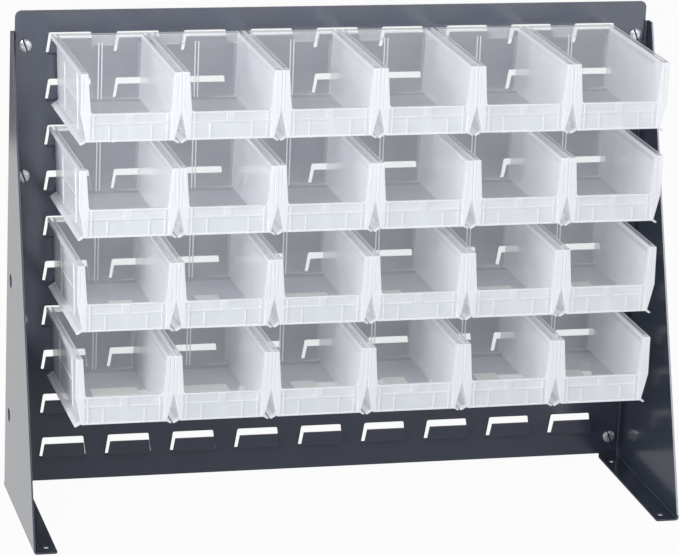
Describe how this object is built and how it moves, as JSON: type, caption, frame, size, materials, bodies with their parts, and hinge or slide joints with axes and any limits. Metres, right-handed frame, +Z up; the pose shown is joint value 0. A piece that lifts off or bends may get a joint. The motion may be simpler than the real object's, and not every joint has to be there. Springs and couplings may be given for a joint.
{
  "type": "bench bin rack",
  "caption": "Bench-top rack: an upright louvred steel panel between two folded, slanted side brackets, hung with rows of open-front clear plastic parts bins that lift off.",
  "frame": {"origin": "on the bench top, under the middle of the rack's overall width and depth", "axes": "+X to the right along the rack's width, +Y to the back, +Z up from the bench"},
  "size_m": [0.715, 0.2126, 0.5379],
  "materials": {
    "panel_paint": "satin slate grey powder coat",
    "bracket_paint": "satin slate grey powder coat",
    "zinc": "bright zinc plate",
    "bin_plastic": "clear milky moulded polypropylene",
    "card_stock": "uncoated white card"
  },
  "bodies": {
    "rack": {"louvred_panel": "panel_paint", "left_bracket": "bracket_paint", "right_bracket": "bracket_paint", "panel_screws": "zinc", "panel_nuts": "zinc"},
    "bin_1_1": {"bin_row1_col1": "bin_plastic"},
    "bin_1_2": {"bin_row1_col2": "bin_plastic"},
    "bin_1_3": {"bin_row1_col3": "bin_plastic"},
    "bin_1_4": {"bin_row1_col4": "bin_plastic"},
    "bin_1_5": {"bin_row1_col5": "bin_plastic"},
    "bin_1_6": {"bin_row1_col6": "bin_plastic"},
    "bin_2_1": {"bin_row2_col1": "bin_plastic", "label_card_row2_col1": "card_stock"},
    "bin_2_2": {"bin_row2_col2": "bin_plastic", "label_card_row2_col2": "card_stock"},
    "bin_2_3": {"bin_row2_col3": "bin_plastic"},
    "bin_2_4": {"bin_row2_col4": "bin_plastic", "label_card_row2_col4": "card_stock"},
    "bin_2_5": {"bin_row2_col5": "bin_plastic", "label_card_row2_col5": "card_stock"},
    "bin_2_6": {"bin_row2_col6": "bin_plastic"},
    "bin_3_1": {"bin_row3_col1": "bin_plastic", "label_card_row3_col1": "card_stock"},
    "bin_3_2": {"bin_row3_col2": "bin_plastic", "label_card_row3_col2": "card_stock"},
    "bin_3_3": {"bin_row3_col3": "bin_plastic", "label_card_row3_col3": "card_stock"},
    "bin_3_4": {"bin_row3_col4": "bin_plastic", "label_card_row3_col4": "card_stock"},
    "bin_3_5": {"bin_row3_col5": "bin_plastic", "label_card_row3_col5": "card_stock"},
    "bin_3_6": {"bin_row3_col6": "bin_plastic", "label_card_row3_col6": "card_stock"},
    "bin_4_1": {"bin_row4_col1": "bin_plastic", "label_card_row4_col1": "card_stock"},
    "bin_4_2": {"bin_row4_col2": "bin_plastic", "label_card_row4_col2": "card_stock"},
    "bin_4_3": {"bin_row4_col3": "bin_plastic", "label_card_row4_col3": "card_stock"},
    "bin_4_4": {"bin_row4_col4": "bin_plastic", "label_card_row4_col4": "card_stock"},
    "bin_4_5": {"bin_row4_col5": "bin_plastic", "label_card_row4_col5": "card_stock"},
    "bin_4_6": {"bin_row4_col6": "bin_plastic", "label_card_row4_col6": "card_stock"}
  },
  "joints": [
    {"name": "lift_row1_col1", "type": "slide", "parent": "rack", "child": "bin_1_1", "axis": [0, 0, 1], "range_m": [0, 0.05]},
    {"name": "lift_row1_col2", "type": "slide", "parent": "rack", "child": "bin_1_2", "axis": [0, 0, 1], "range_m": [0, 0.05]},
    {"name": "lift_row1_col3", "type": "slide", "parent": "rack", "child": "bin_1_3", "axis": [0, 0, 1], "range_m": [0, 0.05]},
    {"name": "lift_row1_col4", "type": "slide", "parent": "rack", "child": "bin_1_4", "axis": [0, 0, 1], "range_m": [0, 0.05]},
    {"name": "lift_row1_col5", "type": "slide", "parent": "rack", "child": "bin_1_5", "axis": [0, 0, 1], "range_m": [0, 0.05]},
    {"name": "lift_row1_col6", "type": "slide", "parent": "rack", "child": "bin_1_6", "axis": [0, 0, 1], "range_m": [0, 0.05]},
    {"name": "lift_row2_col1", "type": "slide", "parent": "rack", "child": "bin_2_1", "axis": [0, 0, 1], "range_m": [0, 0.02]},
    {"name": "lift_row2_col2", "type": "slide", "parent": "rack", "child": "bin_2_2", "axis": [0, 0, 1], "range_m": [0, 0.02]},
    {"name": "lift_row2_col3", "type": "slide", "parent": "rack", "child": "bin_2_3", "axis": [0, 0, 1], "range_m": [0, 0.02]},
    {"name": "lift_row2_col4", "type": "slide", "parent": "rack", "child": "bin_2_4", "axis": [0, 0, 1], "range_m": [0, 0.02]},
    {"name": "lift_row2_col5", "type": "slide", "parent": "rack", "child": "bin_2_5", "axis": [0, 0, 1], "range_m": [0, 0.02]},
    {"name": "lift_row2_col6", "type": "slide", "parent": "rack", "child": "bin_2_6", "axis": [0, 0, 1], "range_m": [0, 0.02]},
    {"name": "lift_row3_col1", "type": "slide", "parent": "rack", "child": "bin_3_1", "axis": [0, 0, 1], "range_m": [0, 0.02]},
    {"name": "lift_row3_col2", "type": "slide", "parent": "rack", "child": "bin_3_2", "axis": [0, 0, 1], "range_m": [0, 0.02]},
    {"name": "lift_row3_col3", "type": "slide", "parent": "rack", "child": "bin_3_3", "axis": [0, 0, 1], "range_m": [0, 0.02]},
    {"name": "lift_row3_col4", "type": "slide", "parent": "rack", "child": "bin_3_4", "axis": [0, 0, 1], "range_m": [0, 0.02]},
    {"name": "lift_row3_col5", "type": "slide", "parent": "rack", "child": "bin_3_5", "axis": [0, 0, 1], "range_m": [0, 0.02]},
    {"name": "lift_row3_col6", "type": "slide", "parent": "rack", "child": "bin_3_6", "axis": [0, 0, 1], "range_m": [0, 0.02]},
    {"name": "lift_row4_col1", "type": "slide", "parent": "rack", "child": "bin_4_1", "axis": [0, 0, 1], "range_m": [0, 0.02]},
    {"name": "lift_row4_col2", "type": "slide", "parent": "rack", "child": "bin_4_2", "axis": [0, 0, 1], "range_m": [0, 0.02]},
    {"name": "lift_row4_col3", "type": "slide", "parent": "rack", "child": "bin_4_3", "axis": [0, 0, 1], "range_m": [0, 0.02]},
    {"name": "lift_row4_col4", "type": "slide", "parent": "rack", "child": "bin_4_4", "axis": [0, 0, 1], "range_m": [0, 0.02]},
    {"name": "lift_row4_col5", "type": "slide", "parent": "rack", "child": "bin_4_5", "axis": [0, 0, 1], "range_m": [0, 0.02]},
    {"name": "lift_row4_col6", "type": "slide", "parent": "rack", "child": "bin_4_6", "axis": [0, 0, 1], "range_m": [0, 0.02]}
  ]
}
